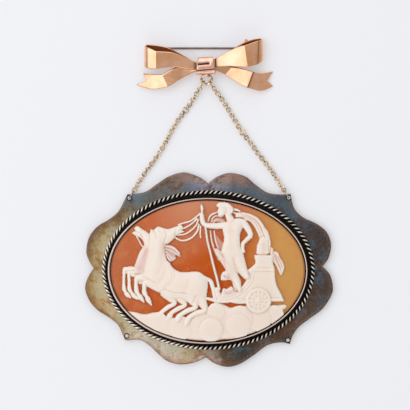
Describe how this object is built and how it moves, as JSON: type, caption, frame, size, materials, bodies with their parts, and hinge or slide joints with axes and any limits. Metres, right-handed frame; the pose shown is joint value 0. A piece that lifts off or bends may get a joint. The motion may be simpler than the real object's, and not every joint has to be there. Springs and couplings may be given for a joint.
{
  "type": "cameo brooch",
  "caption": "Oval shell cameo in a scalloped silver frame with a twisted rope border, hung by fine chains from a ribbon bow that has a turning pin and a catch on its back.",
  "frame": {"origin": "under the middle of the whole, on the surface that it rests on", "axes": "+Y from the frame towards the bow, +Z out of the cameo's face"},
  "size_m": [0.0744, 0.0987, 0.0083],
  "materials": {
    "rose_gold": "polished, lightly worn rose gold sheet",
    "pin_wire": "drawn wire, worn",
    "yellow_gold": "polished wire, dark in the joints",
    "tarnished_silver": "tarnished silver plate",
    "oxidised_silver": "twisted silver wire, bright on top and black between",
    "shell": "carved shell, cream relief on a polished orange ground"
  },
  "bodies": {
    "brooch": {"bow_ribbon": "rose_gold", "knot_band": "rose_gold", "hanger_left": "yellow_gold", "hanger_right": "yellow_gold", "chain_left": "yellow_gold", "chain_right": "yellow_gold", "bail_left": "yellow_gold", "bail_right": "yellow_gold", "scalloped_frame": "tarnished_silver", "rope_border": "oxidised_silver", "cameo": "shell"},
    "pin": {"pin_stem": "pin_wire"}
  },
  "joints": [
    {"name": "pin_turn", "type": "hinge", "parent": "brooch", "child": "pin", "pos_m": [-0.01383, 0.04553, 0.00068], "axis": [0, 0, 1], "range_deg": [0, 80]}
  ]
}
